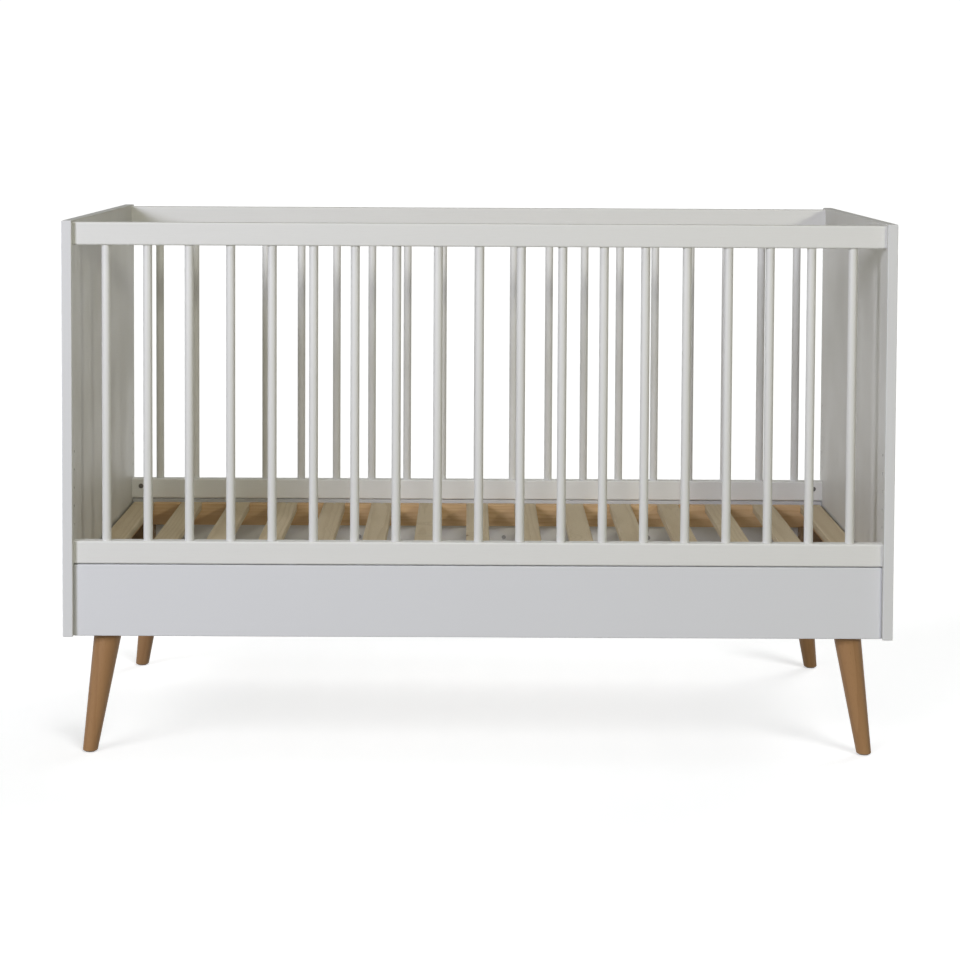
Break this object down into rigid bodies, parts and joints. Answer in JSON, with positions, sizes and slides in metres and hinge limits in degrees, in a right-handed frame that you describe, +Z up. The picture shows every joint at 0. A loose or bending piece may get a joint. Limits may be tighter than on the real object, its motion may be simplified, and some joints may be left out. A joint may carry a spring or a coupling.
{
  "type": "baby cot bed",
  "caption": "White barred cot bed with solid end panels, closed lower panels, a slatted base that lifts to a higher level, and splayed wooden legs.",
  "frame": {"origin": "on the floor under the middle of the cot", "axes": "+X along the cot, -Y towards the front, +Z up"},
  "size_m": [1.456, 0.776, 0.946],
  "materials": {
    "white_panel": "satin lacquer on board, cool white",
    "white_beech": "satin lacquer on solid wood, warm white",
    "pine_slat": "raw planed pine",
    "pine_rail": "raw planed pine, deeper in colour",
    "block_wood": "raw sawn wood",
    "bearer_board": "white faced board",
    "leg_wood": "turned oak, matt oil",
    "nylon": "moulded",
    "brad_steel": "bright wire",
    "zinc_steel": "zinc plated",
    "dark_steel": "dark oxide"
  },
  "bodies": {
    "frame": {"back_bars": "white_beech", "back_bottom_rail": "white_beech", "back_left_corner_block": "block_wood", "back_left_leg": "leg_wood", "back_lower_panel": "white_panel", "back_right_corner_block": "block_wood", "back_right_leg": "leg_wood", "back_top_rail": "white_beech", "barrel_nuts": "dark_steel", "bearer_screws": "zinc_steel", "block_screws": "zinc_steel", "foot_glides": "nylon", "front_bars": "white_beech", "front_bottom_rail": "white_beech", "front_left_corner_block": "block_wood", "front_left_leg": "leg_wood", "front_lower_panel": "white_panel", "front_right_corner_block": "block_wood", "front_right_leg": "leg_wood", "front_top_rail": "white_beech", "left_end_panel": "white_panel", "left_leg_bearer": "bearer_board", "leg_bolts": "zinc_steel", "leg_plates": "zinc_steel", "panel_screws": "zinc_steel", "plate_screws": "zinc_steel", "rail_bolts": "zinc_steel", "right_end_panel": "white_panel", "right_leg_bearer": "bearer_board", "side_screws": "dark_steel"},
    "mattress_base": {"base_back_rail": "pine_rail", "base_front_rail": "pine_rail", "base_left_rail": "pine_rail", "base_right_rail": "pine_rail", "slat_01": "pine_slat", "slat_02": "pine_slat", "slat_03": "pine_slat", "slat_04": "pine_slat", "slat_05": "pine_slat", "slat_06": "pine_slat", "slat_07": "pine_slat", "slat_08": "pine_slat", "slat_09": "pine_slat", "slat_10": "pine_slat", "slat_11": "pine_slat", "slat_12": "pine_slat", "slat_13": "pine_slat", "slat_14": "pine_slat", "slat_15": "pine_slat", "slat_brads": "brad_steel"}
  },
  "joints": [
    {"name": "base_height", "type": "slide", "parent": "frame", "child": "mattress_base", "axis": [0, 0, 1], "range_m": [0, 0.288]}
  ]
}
